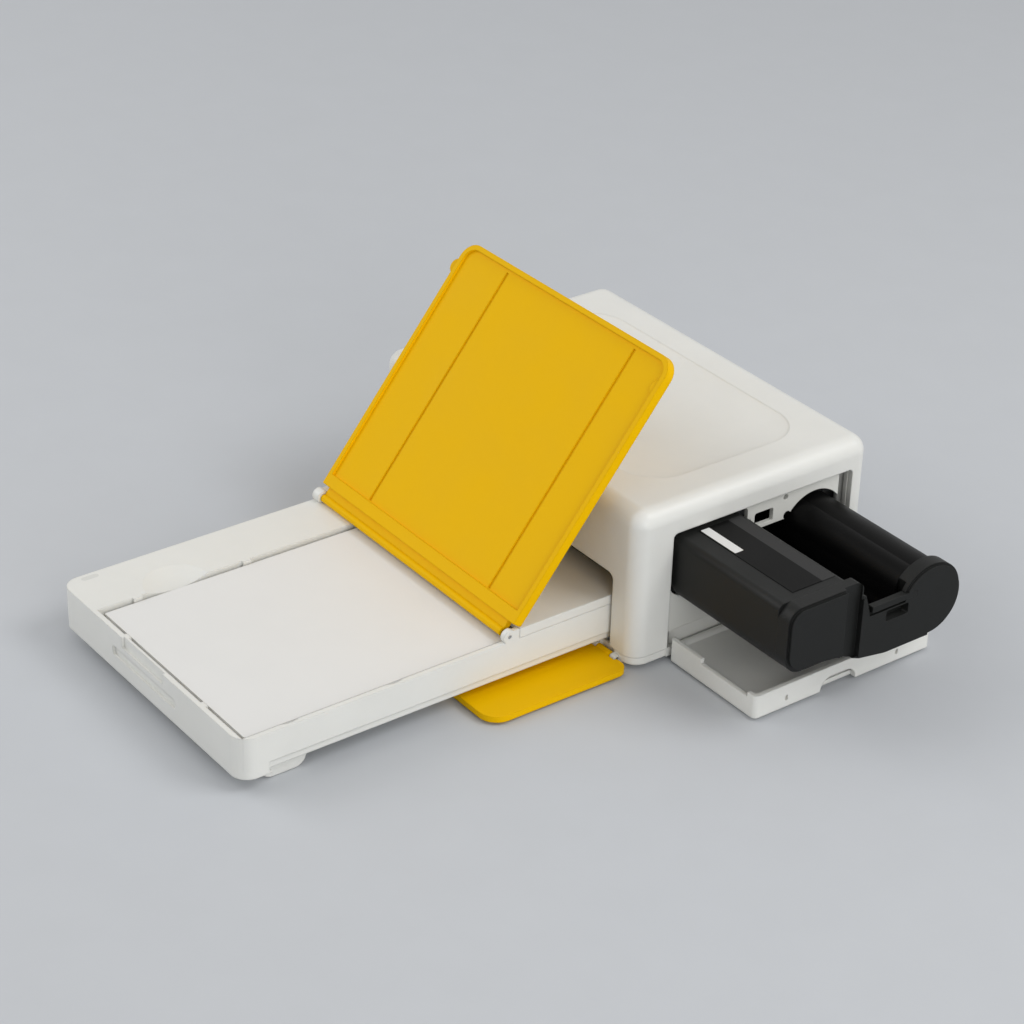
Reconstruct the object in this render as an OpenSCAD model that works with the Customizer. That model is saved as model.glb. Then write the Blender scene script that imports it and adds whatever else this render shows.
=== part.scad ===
// Compact dye-sublimation photo printer: body, two hinged doors, paper tray with a
// hinged lid, sliding ribbon cartridge and the printing mechanism inside.
// Axes: X runs left to right, Y runs front to back, Z up. While it is being drawn,
// x = 0 is the middle of the body, y = 0 its front face and z = 0 the table top;
// place() then puts the origin under the middle of the whole part.

/* [Body] */
// Width of the body
body_w = 171; // [168:1:180]
// Depth of the body, front to back
body_d = 118; // [117:1:130]
// Height of the body above its feet
body_h = 67.6; // [66:0.2:76]
// Rounding of the body's upright and top edges
edge_r = 7; // [5:0.5:8]
// Thickness of the moulded housing wall
wall = 2.2; // [1.8:0.1:2.6]
// Height of the bottom cover's rim, where the housing meets it
seam_h = 4; // [3.4:0.1:5]
// Height of the rubber feet below the body
foot_h = 1.5; // [1:0.25:2]
// Diameter of a rubber foot
foot_d = 12; // [9:1:14]
// Depth of the shallow dish in the top
dish_depth = 1.3; // [0.6:0.1:1.6]
// Distance from the body's edges to the dish
dish_margin = 18; // [14:1:24]
// Corner radius of the dish
dish_r = 18; // [12:1:22]
// Height of the front slot's top edge above the table
slot_top = 38; // [36:0.5:40]

/* [Paper] */
// Width of a sheet
paper_w = 102; // [98:1:104]
// Length of a sheet with its tear-off ends
paper_l = 183; // [178:1:188]
// Thickness of the stack of paper
paper_t = 8.6; // [4:0.2:9]

/* [Paper tray] */
// Width of the margin left of the paper well
margin_w = 25.4; // [24:0.2:26.4]
// Sideways offset of the tray from the middle of the body
tray_x = 3.8; // [2:0.2:5]
// How far the tray reaches in front of the body
tray_out = 166.5; // [160:0.5:168]
// Height of the tray's underside above the table
tray_z = 7.8; // [7:0.1:8.4]
// Height of the tray's open front part
tray_h = 15.8; // [15:0.1:16.6]
// Thickness of the tray's walls
tray_wall = 2.2; // [1.8:0.1:2.6]
// Thickness of the tray's floor
tray_floor = 2; // [1.6:0.1:2.4]
// Corner radius at the tray's front
tray_r = 7; // [5:0.5:8]
// Gap between the paper and the walls round it
paper_gap = 1.2; // [0.8:0.1:1.6]
// Rise of the rear cover, which is also the height of the closed lid
cover_rise = 4.1; // [3.6:0.1:4.6]
// Thickness of the rear cover's plate
plate_t = 1.8; // [1.4:0.1:2.1]

/* [Tray lid] */
// Length of the lid from its hinge axis to its free edge
lid_l = 120.5; // [116:0.5:124]
// How far the closed lid overhangs the tray's front
lid_lip = 1.6; // [0.8:0.2:2.4]
// Angle through which the lid stands open, from closed
lid_open = 128.5; // [100:0.5:132]
// Width of the raised rim round the lid
lid_rim = 2.2; // [1.6:0.1:2.8]
// Corner radius at the lid's free end
lid_r = 7.5; // [5:0.5:9]
// Thickness of the lid inside its rim
lid_t = 2.9; // [2.4:0.1:3.2]
// Distance from the tray's left side to the lid's left edge
lid_inset = 1.2; // [0.6:0.2:1.6]
// Diameter of the lid's hinge pins
lid_pin_d = 1.6; // [1.2:0.1:1.8]

/* [Front door] */
// Length of the front door from its near edge to its free edge
front_door_l = 65.6; // [61:0.5:67]
// Thickness of the front door
front_door_t = 2.5; // [2:0.1:2.8]
// Corner radius at the front door's free edge
front_door_r = 8; // [6:0.5:12]
// Distance of each hinge from the middle of the body
front_hinge_x = 70; // [60:1:74]

/* [Side door] */
// Front end of the opening in the side, from the front of the body
bay_y0 = 17.3; // [16.8:0.1:17.8]
// Rear end of the opening in the side, from the front of the body
bay_y1 = 109.1; // [108.6:0.1:110]
// Height of the opening's top edge above the table
bay_top = 56.8; // [56.2:0.1:58]
// Thickness of the side door's panel
side_door_t = 2; // [1.6:0.1:2.4]
// Height of the rim round the side door
side_rim_h = 10; // [8:0.5:12]
// Thickness of the side door's rim
side_rim_t = 1.8; // [1.4:0.1:2]
// Length of the finger notch in the side door's lip
notch_l = 18; // [12:1:24]
// Diameter of the pins that both doors turn on
door_pin_d = 1.6; // [1.2:0.1:1.8]

/* [Cartridge] */
// How far the cartridge is drawn out
cart_draw = 75.8; // [70:0.2:80]
// Depth of the seated cartridge's outer end behind the bay wall
cart_recess = 7.8; // [7:0.1:8.4]
// Gap between the seated cartridge and the motor
drive_gap = 1.7; // [1:0.1:2.5]
// Width of the supply housing
supply_w = 33.5; // [32:0.5:34]
// Height of the supply housing
supply_h = 28.3; // [27:0.1:29]
// Height of the supply housing's underside above the table
supply_z = 26.5; // [26.2:0.1:27]
// Distance of the cartridge's front side from the front of the body
cart_y = 19; // [18.6:0.1:19.6]
// Radius of the take-up tube
tube_r = 13.7; // [12.5:0.1:14]
// Radius of the round end of the cap
cap_r = 15.6; // [15:0.1:16]
// Distance between the front side of the cartridge and the take-up axis
takeup_dy = 72.7; // [72:0.1:73.5]
// Height of the take-up axis above the table
takeup_z = 35.3; // [34.8:0.1:36]
// Thickness of the end cap
cap_t = 7; // [5:0.5:9]
// Thickness of the cartridge's walls
cart_wall = 1.5; // [1.2:0.1:1.8]
// Depth of the upright groove in the end cap
cap_groove = 2.5; // [1:0.5:4]

/* [Mechanism] */
// Thickness of the steel side plates
plate_s = 1.5; // [1:0.1:2]
// Radius of the platen roller
platen_r = 7; // [6:0.1:7.2]
// Radius of the feed roller
feed_r = 4; // [3:0.1:4.5]
// Radius of the pinch roller
pinch_r = 2.8; // [2.4:0.1:2.9]
// Radius of the pickup rollers
pickup_r = 8; // [7:0.1:8.4]
// Diameter of the roller shafts
shaft_d = 5; // [4:0.2:5]
// Height of the paper path above the table
path_z = 19.5; // [19.2:0.1:19.8]
// Height of the raised print head's heating line above the table
head_z = 35.5; // [35:0.1:37]
// Width of the print head, front to back
head_w = 13; // [11:0.5:14]
// Module of the gear teeth
gear_m = 0.8; // [0.76:0.01:0.82]
// Width of the gears
gear_t = 4; // [3:0.1:4]
// Diameter of the motor
motor_d = 24; // [20:1:26]
// Length of the motor
motor_l = 10.5; // [8:0.1:10.8]

/* [Clearances] */
// Gap between a moving piece and its neighbour
gap = 0.4; // [0.3:0.05:0.5]
// Radial running clearance of a pin or shaft in its hole
run = 0.05; // [0.02:0.01:0.09]
// Gap between pieces that rest on each other
seat = 0.1; // [0.05:0.05:0.2]

/* [Hidden] */

// Body
$fn = 64;
body_x = body_w / 2;
body_top = foot_h + body_h;
seam_z = foot_h + seam_h;
floor_z = foot_h + wall;
dish_y1 = body_d - dish_margin;
inner_x = body_x - wall;
inner_top = body_top - dish_depth - wall;

// Tray
tray_w = margin_w + paper_w + 2 * paper_gap + tray_wall;
tray_x0 = tray_x - tray_w / 2;
tray_x1 = tray_x + tray_w / 2;
tray_y0 = -tray_out;
tray_z1 = tray_z + tray_h;
cover_z1 = tray_z1 + cover_rise;
paper_x1 = tray_x1 - tray_wall - paper_gap;
paper_x0 = paper_x1 - paper_w;
paper_xc = (paper_x0 + paper_x1) / 2;
paper_y0 = tray_y0 + tray_wall + paper_gap;
paper_y1 = paper_y0 + paper_l;
paper_z1 = tray_z1 - 0.8;
paper_z0 = paper_z1 - paper_t;
well_x0 = paper_x0 - paper_gap;
well_x1 = tray_x1 - tray_wall;
well_y0 = tray_y0 + tray_wall;
well_y1 = paper_y1 + paper_gap;
well_z = tray_z + tray_floor;
tray_y1 = well_y1 + tray_wall;

// Tray lid: drawn closed, its hinge axis on the x axis, then opened
lid_hinge_y = tray_y0 - lid_lip + lid_l;
lid_hinge_z = tray_z1 + cover_rise / 2;
lid_top = cover_rise / 2;
lid_x0 = tray_x0 + lid_inset;
lid_barrel_r = cover_rise / 2 - 0.3;
ear_w = 4.2;
lid_pin_l = 8;
lid_neck = 5;
cover_y0 = lid_hinge_y + lid_top / sin(180 - lid_open) + lid_top / tan(180 - lid_open) + gap;

// Doors
front_hinge_y = -gap - front_door_t + 1.9;
front_hinge_z = 1 + 1.9;
front_door_y = front_hinge_y - 0.4;
side_hinge_z = 2.9;
side_hinge_x = body_x - side_hinge_z + 1;
side_barrel_r = 1.8;
side_door_y0 = bay_y0 + gap;
side_door_y1 = bay_y1 - gap;
side_door_x = side_hinge_x + bay_top - gap - side_hinge_z;
side_rim_x = side_hinge_x + 3.5;
bay_x = side_hinge_x - 0.6;

// Side plates
left_x = tray_x0 - gap - 0.4;
right_x = tray_x1 + gap + 0.1;
plate_y0 = wall + 0.8;
plate_y1 = body_d - wall - 2.8;
plate_z1 = inner_top - 3;

// Cartridge
cart_seated = bay_x - cart_recess;
cart_out = cart_seated + cart_draw;
cart_in = left_x + motor_l + drive_gap + cart_draw;
supply_y = cart_y + supply_w / 2;
supply_zc = supply_z + supply_h / 2;
supply_y1 = cart_y + supply_w;
takeup_y = cart_y + takeup_dy;
web_z = takeup_z - 16.5;
latch_z = takeup_z + 4.9;
cap_x = cart_out - cap_t;
end_t = 4;
film_x0 = cart_in + end_t + 9.7;
film_x1 = cap_x - 0.3;
film_t = 0.3;
film_z = supply_z + 1;

// Rollers and gears, seen along X
idler_n = 30;
platen_n = 16;
feed_n = 20;
pinion_n = 12;
pickup_n = 18;
pickup_idler_n = 20;
ribbon_idler_n = 20;
takeup_n = 32;
platen_y = (supply_y1 + takeup_y - tube_r) / 2;
platen_z = path_z - 0.1 - platen_r;
feed_z = path_z - 0.1 - feed_r;
pinch_z = path_z + 0.2 + pinch_r;
pickup_y = wall + 0.3 + pickup_r;
pickup_z = paper_z1 + 0.3 + pickup_r;
gear_x = left_x - plate_s - 1.6;
function pitch_r(n) = gear_m * n / 2;
function mesh_d(a, b) = pitch_r(a) + pitch_r(b) + 0.05;
idler_a = 130;
idler_y = platen_y + mesh_d(platen_n, idler_n) * cos(idler_a);
idler_z = platen_z + mesh_d(platen_n, idler_n) * sin(idler_a);
feed_a = 180 + asin((idler_z - feed_z) / mesh_d(idler_n, feed_n));
feed_y = idler_y + mesh_d(idler_n, feed_n) * cos(feed_a);
motor_a = 75;
motor_y = idler_y + mesh_d(idler_n, pinion_n) * cos(motor_a);
motor_z = idler_z + mesh_d(idler_n, pinion_n) * sin(motor_a);
// Direction from gear a to the idler that bridges gears a and b
function bridge_a(ya, za, yb, zb, ra, rb, side) =
    let (d = norm([yb - ya, zb - za]))
    atan2(zb - za, yb - ya) + side * acos((d * d + ra * ra - rb * rb) / (2 * d * ra));
pickup_idler_a = bridge_a(feed_y, feed_z, pickup_y, pickup_z,
    mesh_d(feed_n, pickup_idler_n), mesh_d(pickup_idler_n, pickup_n), -1);
pickup_idler_y = feed_y + mesh_d(feed_n, pickup_idler_n) * cos(pickup_idler_a);
pickup_idler_z = feed_z + mesh_d(feed_n, pickup_idler_n) * sin(pickup_idler_a);
pickup_a = atan2(pickup_z - pickup_idler_z, pickup_y - pickup_idler_y);
ribbon_idler_a = bridge_a(platen_y, platen_z, takeup_y, takeup_z,
    mesh_d(platen_n, ribbon_idler_n), mesh_d(ribbon_idler_n, takeup_n), -1);
ribbon_idler_y = platen_y + mesh_d(platen_n, ribbon_idler_n) * cos(ribbon_idler_a);
ribbon_idler_z = platen_z + mesh_d(platen_n, ribbon_idler_n) * sin(ribbon_idler_a);
takeup_a = atan2(takeup_z - ribbon_idler_z, takeup_y - ribbon_idler_y);
// Turn of gear b that meshes with gear a, seen in direction dir from a
function mesh_turn(turn_a, na, nb, dir) =
    dir + 180 - (0.5 - (dir - turn_a) * na / 360) * 360 / nb;
platen_turn = 0;
idler_turn = mesh_turn(platen_turn, platen_n, idler_n, idler_a);
feed_turn = mesh_turn(idler_turn, idler_n, feed_n, feed_a);
pinion_turn = mesh_turn(idler_turn, idler_n, pinion_n, motor_a);
pickup_idler_turn = mesh_turn(feed_turn, feed_n, pickup_idler_n, pickup_idler_a);
pickup_turn = mesh_turn(pickup_idler_turn, pickup_idler_n, pickup_n, pickup_a);
ribbon_idler_turn = mesh_turn(platen_turn, platen_n, ribbon_idler_n, ribbon_idler_a);
takeup_turn = mesh_turn(ribbon_idler_turn, ribbon_idler_n, takeup_n, takeup_a);

// Print head
pivot_y = takeup_y + 16.5;
pivot_z = 58;
arm_z = takeup_z + tube_r + 3.5;
head_y = platen_y - 3.5;
sink_z = head_z + 2.2;

// Extent of the whole part, for its origin
part_x0 = -body_x;
part_x1 = cart_out;
part_y0 = tray_y0;
part_y1 = body_d;

// Colours
white = [0.9, 0.9, 0.87];
yellow = [0.93, 0.7, 0.06];
black = [0.13, 0.13, 0.13];
steel = [0.7, 0.71, 0.72];
nylon = [0.85, 0.84, 0.78];

module place() {
    translate([-(part_x0 + part_x1) / 2, -(part_y0 + part_y1) / 2, 0]) children();
}

// Rectangle with round corners, about the origin
module rrect(w, h, r) {
    square([w - 2 * r, h], center = true);
    square([w, h - 2 * r], center = true);
    for (x = [-1, 1], y = [-1, 1])
        translate([x * (w / 2 - r), y * (h / 2 - r)]) circle(r);
}

// Rectangle from corner to corner, its four corner radii counted from x0, y0
module quad(x0, y0, x1, y1, r = [0.5, 0.5, 0.5, 0.5]) {
    corner = [[x0, y0], [x1, y0], [x1, y1], [x0, y1]];
    into = [[1, 1], [-1, 1], [-1, -1], [1, -1]];
    difference() {
        translate([x0, y0]) square([x1 - x0, y1 - y0]);
        for (i = [0:3]) difference() {
            translate(corner[i] + into[i] * (r[i] - 1) / 2) square(r[i] + 1, center = true);
            translate(corner[i] + into[i] * r[i]) circle(r[i]);
        }
    }
}

module box(x0, x1, y0, y1, z0, z1) {
    translate([x0, y0, z0]) cube([x1 - x0, y1 - y0, z1 - z0]);
}

// Profile drawn in Y and Z, extruded along X
module along_x(x0, x1) {
    translate([x0, 0, 0]) rotate([90, 0, 90]) linear_extrude(x1 - x0) children();
}

module rod_x(x0, x1, y, z, r) {
    translate([x0, y, z]) rotate([0, 90, 0]) cylinder(r = r, h = x1 - x0);
}

module rod_y(y0, y1, x, z, r) {
    translate([x, y0, z]) rotate([-90, 0, 0]) cylinder(r = r, h = y1 - y0);
}

// Coil spring standing on z = 0: a round wire swept along a helix
module coil(d, h, turns, wire) {
    sides = 8;
    steps = round(turns * 14);
    r = (d - wire) / 2;
    function ring(i) = let (a = 360 * turns * i / steps, z = wire / 2 + (h - wire) * i / steps)
        [for (k = [0:sides - 1]) let (b = 360 * k / sides)
            [(r + wire / 2 * cos(b)) * cos(a), (r + wire / 2 * cos(b)) * sin(a),
                z + wire / 2 * sin(b)]];
    points = [for (i = [0:steps]) each ring(i)];
    walls = [for (i = [0:steps - 1], k = [0:sides - 1]) let (n = (k + 1) % sides)
        each [[i * sides + k, (i + 1) * sides + k, (i + 1) * sides + n],
            [i * sides + k, (i + 1) * sides + n, i * sides + n]]];
    ends = [[for (k = [0:sides - 1]) k], [for (k = [sides - 1:-1:0]) steps * sides + k]];
    polyhedron(points, concat(walls, ends));
}

// Point of an involute at radius r of the base circle rb, turned by a degrees
function involute(rb, r, a, s) =
    let (t = sqrt(r * r / (rb * rb) - 1), g = a - s * (t * 180 / PI - atan(t)))
    [r * cos(g), r * sin(g)];

// Spur gear outline with its first tooth centred on the x axis
module gear_outline(n) {
    rp = pitch_r(n);
    rb = rp * cos(20);
    ra = rp + gear_m * 0.9;
    rf = rp - gear_m * 1.2;
    tp = sqrt(rp * rp / (rb * rb) - 1);
    half = 90 / n - 4.5 / rp + (tp * 180 / PI - atan(tp));
    r0 = max(rb, rf + 0.05);
    points = [for (i = [0:n - 1]) let (c = 360 * i / n) each concat(
        [[rf * cos(c - half), rf * sin(c - half)]],
        [for (k = [0:3]) involute(rb, r0 + (ra - r0) * k / 3, c - half, -1)],
        [for (k = [3:-1:0]) involute(rb, r0 + (ra - r0) * k / 3, c + half, 1)],
        [[rf * cos(c + half), rf * sin(c + half)]])];
    polygon(points);
}

// Gear on a hub, in the gear plane, on the axis at y, z
module gear(n, y, z, turn, bore_r, holes = 0) {
    translate([gear_x - gear_t, y, z]) rotate([90, 0, 90]) difference() {
        union() {
            rotate(turn) linear_extrude(gear_t) gear_outline(n);
            cylinder(r = bore_r + 1.6, h = gear_t + 0.5);
        }
        translate([0, 0, -1]) cylinder(r = bore_r, h = gear_t + 3);
        if (holes > 0) for (i = [0:holes - 1]) rotate(i * 360 / holes)
            translate([(pitch_r(n) + bore_r) / 2 + 0.4, 0, -1])
                cylinder(r = (pitch_r(n) - bore_r) / 2 - 2.2, h = gear_t + 3, $fn = 32);
    }
}

// ---------- Body ----------

// Block with the body's outline, shrunk by inset, from z0 up to z1
module body_block(inset, z0, z1) {
    r = edge_r - inset;
    x = body_x - edge_r;
    hull() for (sx = [-1, 1], y = [edge_r, body_d - edge_r]) translate([sx * x, y, 0]) {
        translate([0, 0, z1 - r]) sphere(r);
        translate([0, 0, z0]) cylinder(r = r, h = 1);
    }
}

boss_x = inner_x - 5.8;
boss_y = [wall + 6, body_d - wall - 3.8];
boss_r = 3;
screw_r = 1.25;
board_z = inner_top - 7;
board_t = 1.6;
board_x = [left_x + 2, right_x - 10];
board_y = [plate_y0 + 2, supply_y1 - 6];
button_x = left_x + 5;
button_y = dish_margin - 6.5;
button_r = 3.3;
light_x = button_x + 11;
light_r = 1.2;
rear_slot_z = path_z - 2.5;
inlet_x = tray_x0 + 15.2;
inlet_z = floor_z + 5.5;
usb_x = inlet_x + 16;

module housing() place() color(white) difference() {
    union() {
        difference() {
            body_block(0, seam_z, body_top);
            body_block(wall, seam_z - 2, inner_top);
        }
        for (x = [-1, 1] * boss_x, y = boss_y)
            translate([x, y, seam_z + 0.2]) cylinder(r = boss_r, h = inner_top - seam_z);
        for (x = board_x + [4, -4], y = board_y + [19, -4])
            translate([x, y, board_z + board_t]) cylinder(r = 2, h = inner_top - board_z - 1);
    }
    dish();
    translate([0, wall + 1, 0]) rotate([90, 0, 0]) linear_extrude(wall + 2)
        quad(tray_x0 - 2 * gap, seam_z - 1, tray_x1 + 4 * gap, slot_top, [0.5, 0.5, 3, 3]);
    along_x(inner_x - 1, body_x + 1) quad(bay_y0, seam_z - 1, bay_y1, bay_top, [0.5, 0.5, 2, 2]);
    for (x = [-1, 1] * boss_x, y = boss_y)
        translate([x, y, seam_z - 1]) cylinder(r = screw_r + run, h = 14);
    translate([button_x, button_y, inner_top - 1]) cylinder(r = button_r + gap / 2, h = 8);
    translate([light_x, button_y, inner_top - 1]) cylinder(r = light_r, h = 8);
    rear_openings();
}

module dish() {
    x = body_x - dish_margin - dish_r;
    translate([0, 0, body_top]) hull()
        for (sx = [-1, 1], y = [dish_margin + dish_r, dish_y1 - dish_r])
            translate([sx * x, y, 0]) scale([1, 1, dish_depth / dish_r]) sphere(dish_r);
}

// Paper slot, sockets and vents in the back wall
module rear_openings() {
    y0 = body_d - wall - 1;
    box(paper_x0 - 2, paper_x1 + 2, y0, body_d + 1, rear_slot_z, rear_slot_z + 5);
    box(inlet_x - 5.2, inlet_x + 5.2, y0, body_d + 1, seam_z - 1, floor_z + 11.6);
    box(usb_x - 4.7, usb_x + 4.7, y0, body_d + 1, seam_z + 0.4, floor_z + 4.4);
    for (i = [0:11])
        box(8 * i - 44, 8 * i - 39, y0, body_d + 1, body_top - 25, body_top - 13);
}

module bottom_cover() place() color(white) difference() {
    union() {
        translate([0, body_d / 2, foot_h + 1]) linear_extrude(wall - 1)
            rrect(body_w, body_d, edge_r);
        hull() for (z = [foot_h, foot_h + 1]) translate([0, body_d / 2, z])
            linear_extrude(0.01) rrect(body_w - 2 * (foot_h + 1 - z), body_d - 2 * (foot_h + 1 - z), edge_r);
        translate([0, body_d / 2, floor_z]) linear_extrude(seam_z - floor_z) difference() {
            rrect(body_w, body_d, edge_r);
            rrect(body_w - 2 * wall, body_d - 2 * wall, edge_r - wall);
        }
        for (x = [-1, 1] * boss_x, y = boss_y)
            translate([x, y, foot_h]) cylinder(r = boss_r + 1, h = seam_z - foot_h);
        tray_rails();
        guide_ribs();
        box(bay_x - 3.4, bay_x - 1.6, bay_y0 + 4, bay_y1 - 4, floor_z, 11);
        box(-body_x + edge_r, body_x - edge_r, -0.5, wall, foot_h, foot_h + 2.4);
        for (sx = [-1, 1], d = [-5.9, 5.9])
            hinge_ear(sx * front_hinge_x + d);
        for (y = [bay_y0, bay_y1 - 3])
            box(bay_x - 1.6, side_hinge_x + 1.6, y, y + 3, foot_h, seam_z);
    }
    for (sx = [-1, 1]) {
        box(sx * front_hinge_x - 4.3, sx * front_hinge_x + 4.3, -5, 1.2, 0, 9);
        rod_x(sx * front_hinge_x - 9, sx * front_hinge_x + 9, front_hinge_y, front_hinge_z,
            door_pin_d / 2 + run);
    }
    box(side_hinge_x - side_barrel_r - gap, body_x + 1, bay_y0 + 3, bay_y1 - 3, 0, 30);
    box(side_hinge_x + 1.6, body_x + 1, bay_y0 - 0.5, bay_y1 + 0.5, 0, 30);
    rod_y(bay_y0 - 3, bay_y1 + 3, side_hinge_x, side_hinge_z, door_pin_d / 2 + run);
    for (x = [-1, 1] * boss_x, y = boss_y) translate([x, y, 0]) {
        cylinder(r = screw_r + run, h = 9);
        cylinder(r = 2.9, h = foot_h + 1.6);
    }
    for (x = foot_x, y = foot_y) translate([x, y, 0]) cylinder(r = foot_d / 2, h = foot_h + 0.8);
    for (p = floor_screws) translate([p[0], p[1], foot_h + 0.6]) cylinder(r = screw_r, h = 4);
}

foot_x = [-1, 1] * (body_x - 20);
foot_y = [13, body_d - 12];
foot_yz = [20, plate_y1 - 28];
floor_screws = [for (y = foot_yz) each [[left_x - plate_s - 4, y], [right_x + plate_s + 4, y + 12]]];

// Barrel half of a front door hinge on the front of the bottom cover
module hinge_ear(x) {
    rod_x(x - 1.5, x + 1.5, front_hinge_y, front_hinge_z, 1.4);
    box(x - 1.5, x + 1.5, front_hinge_y, wall, foot_h, front_hinge_z + 1.4);
}

module tray_rails() {
    for (x = [tray_x0 + 3, tray_x1 - 6])
        box(x, x + 3, wall, tray_y1, floor_z, tray_z - seat);
}

// Ribs that carry the paper from the tray to the rear slot
module guide_ribs() {
    for (i = [0:4]) {
        x = paper_x0 + 6 + i * (paper_w - 14) / 4;
        box(x, x + 2, feed_y + feed_r + 2, platen_y - platen_r - 2, floor_z, path_z - 0.8);
        box(x, x + 2, platen_y + platen_r + 2, body_d - 11, floor_z, path_z - 0.8);
    }
}

module rubber_feet() place() color([0.2, 0.2, 0.2])
    for (x = foot_x, y = foot_y) translate([x, y, 0]) difference() {
        cylinder(r = foot_d / 2 - 0.1, h = foot_h + 0.8);
        translate([0, 0, -0.5]) cylinder(r = foot_d / 4, h = 1);
    }

module case_screws() place() color(steel)
    for (x = [-1, 1] * boss_x, y = boss_y) translate([x, y, foot_h + 0.2]) difference() {
        union() {
            cylinder(r = 2.6, h = 1.4);
            cylinder(r = screw_r, h = 11);
        }
        translate([0, 0, -0.4]) cylinder(r = 1, h = 1.2, $fn = 6);
    }

module power_button() place() color(white) translate([button_x, button_y, 0]) {
    translate([0, 0, inner_top - 1.5]) cylinder(r = button_r, h = body_top - inner_top + 2.1);
    translate([0, 0, inner_top - 1.5]) cylinder(r = button_r + 1.3, h = 1.2);
    translate([0, 0, inner_top - 3.8]) cylinder(r = 1.4, h = 3);
}

module button_spring() place() color(steel)
    translate([button_x, button_y, board_z + board_t]) coil(7.4, inner_top - 1.5 - board_z - board_t, 3, 0.6);

module status_light_pipe() place() color([0.95, 0.95, 0.95]) translate([light_x, button_y, 0]) {
    translate([0, 0, board_z + board_t + 0.6])
        cylinder(r = light_r + 0.8, h = inner_top - board_z - board_t - 0.6);
    translate([0, 0, inner_top]) cylinder(r = light_r, h = body_top - inner_top);
}

module main_board() place() color([0.05, 0.35, 0.15])
    box(board_x[0], board_x[1], board_y[0], board_y[1], board_z, board_z + board_t);

module board_components() place() color([0.15, 0.15, 0.15]) {
    z = board_z + board_t;
    xc = (board_x[0] + board_x[1]) / 2;
    y0 = board_y[0];
    box(xc - 19.6, xc - 5.6, y0 + 13, y0 + 27, z, z + 1.4);
    box(xc + 4.4, xc + 14.4, y0 + 15, y0 + 23, z, z + 1.2);
    box(xc + 22.6, xc + 30.6, y0 + 9, y0 + 35, z, z + 3.5);
    for (i = [0:3]) translate([xc - 39.6 + 8 * (i % 2), y0 + 21 + 9 * floor(i / 2), z])
        cylinder(r = 3, h = 4.6);
    box(button_x - 2, button_x + 2, button_y - 2, button_y + 2, z, z + 0.6);
}

module power_inlet() place() color([0.12, 0.12, 0.12]) difference() {
    box(inlet_x - 4.5, inlet_x + 4.5, body_d - 14, body_d - wall - 0.2, floor_z, floor_z + 11);
    rod_y(body_d - 12, body_d, inlet_x, inlet_z, 3.2);
}

module usb_port() place() color(steel) difference() {
    box(usb_x - 4.3, usb_x + 4.3, body_d - 9, body_d - wall - 0.2, floor_z, floor_z + 3.8);
    box(usb_x - 3.8, usb_x + 3.8, body_d - 8, body_d, floor_z + 0.5, floor_z + 3.3);
}

module door_switch() place() color([0.15, 0.15, 0.15]) {
    x = right_x + plate_s;
    y = cart_y + 18;
    box(x, x + 7, y, y + 12, bay_top - 1, bay_top + 5);
    box(x + 7, x + 8.5, y + 4, y + 7, bay_top + 3, bay_top + 5);
}

// ---------- Doors ----------

module front_door() place() color(yellow) difference() {
    union() {
        translate([0, 0, 1]) linear_extrude(front_door_t)
            quad(-body_x, front_door_y - front_door_l, body_x, front_door_y,
                [front_door_r, front_door_r, 4.5, 4.5]);
        for (sx = [-1, 1])
            rod_x(sx * front_hinge_x - 4, sx * front_hinge_x + 4, front_hinge_y, front_hinge_z, 1.4);
    }
    for (sx = [-1, 1], d = [-5.9, 5.9])
        box(sx * front_hinge_x + d - 1.9, sx * front_hinge_x + d + 1.9, front_hinge_y - 1.8, 1, 0, 5);
    for (sx = [-1, 1]) rod_x(sx * front_hinge_x - 9, sx * front_hinge_x + 9, front_hinge_y,
        front_hinge_z, door_pin_d / 2 + run);
}

module front_door_pins() place() color(steel)
    for (sx = [-1, 1]) rod_x(sx * front_hinge_x - 7.2, sx * front_hinge_x + 7.2, front_hinge_y,
        front_hinge_z, door_pin_d / 2);

module side_door() place() color(white) difference() {
    union() {
        translate([0, 0, 1]) linear_extrude(side_door_t)
            quad(side_rim_x, side_door_y0, side_door_x, side_door_y1, [1, 2, 2, 1]);
        translate([0, 0, 1]) linear_extrude(side_rim_h) difference() {
            quad(side_rim_x, side_door_y0, side_door_x, side_door_y1, [1, 2, 2, 1]);
            quad(side_rim_x - 9, side_door_y0 + side_rim_t, side_door_x - side_rim_t,
                side_door_y1 - side_rim_t, [1, 1, 1, 1]);
        }
        box(side_hinge_x, side_rim_x + 1, bay_y0 + 3 + gap, bay_y1 - 3 - gap,
            side_hinge_z - 1.4, 1 + side_door_t);
        rod_y(bay_y0 + 3 + gap, bay_y1 - 3 - gap, side_hinge_x, side_hinge_z, side_barrel_r);
    }
    rod_y(bay_y0, bay_y1, side_hinge_x, side_hinge_z, door_pin_d / 2 + run);
    notch_y = (side_door_y0 + side_door_y1) / 2 - 3;
    along_x(side_door_x - side_rim_t - 1, side_door_x + 1)
        quad(notch_y - notch_l / 2, 0, notch_y + notch_l / 2, 6.4, [0.5, 0.5, 5, 5]);
    for (y = [side_door_y0 + 16, side_door_y1 - 18]) along_x(side_door_x - side_rim_t - 1, side_door_x + 1)
        quad(y - 0.6, 3.8, y + 0.6, 6.2, [0.5, 0.5, 0.5, 0.5]);
    box(side_rim_x + 18, side_door_x - side_rim_t - 3, side_door_y0 - 1, side_door_y0 + side_rim_t + 0.1,
        1 + side_rim_h - 2.2, 20);
}

module side_door_pins() place() color(steel)
    for (y = [bay_y0 - 1, bay_y1 - 9])
        rod_y(y, y + 10, side_hinge_x, side_hinge_z, door_pin_d / 2);

// ---------- Cartridge bay and frame ----------

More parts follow.
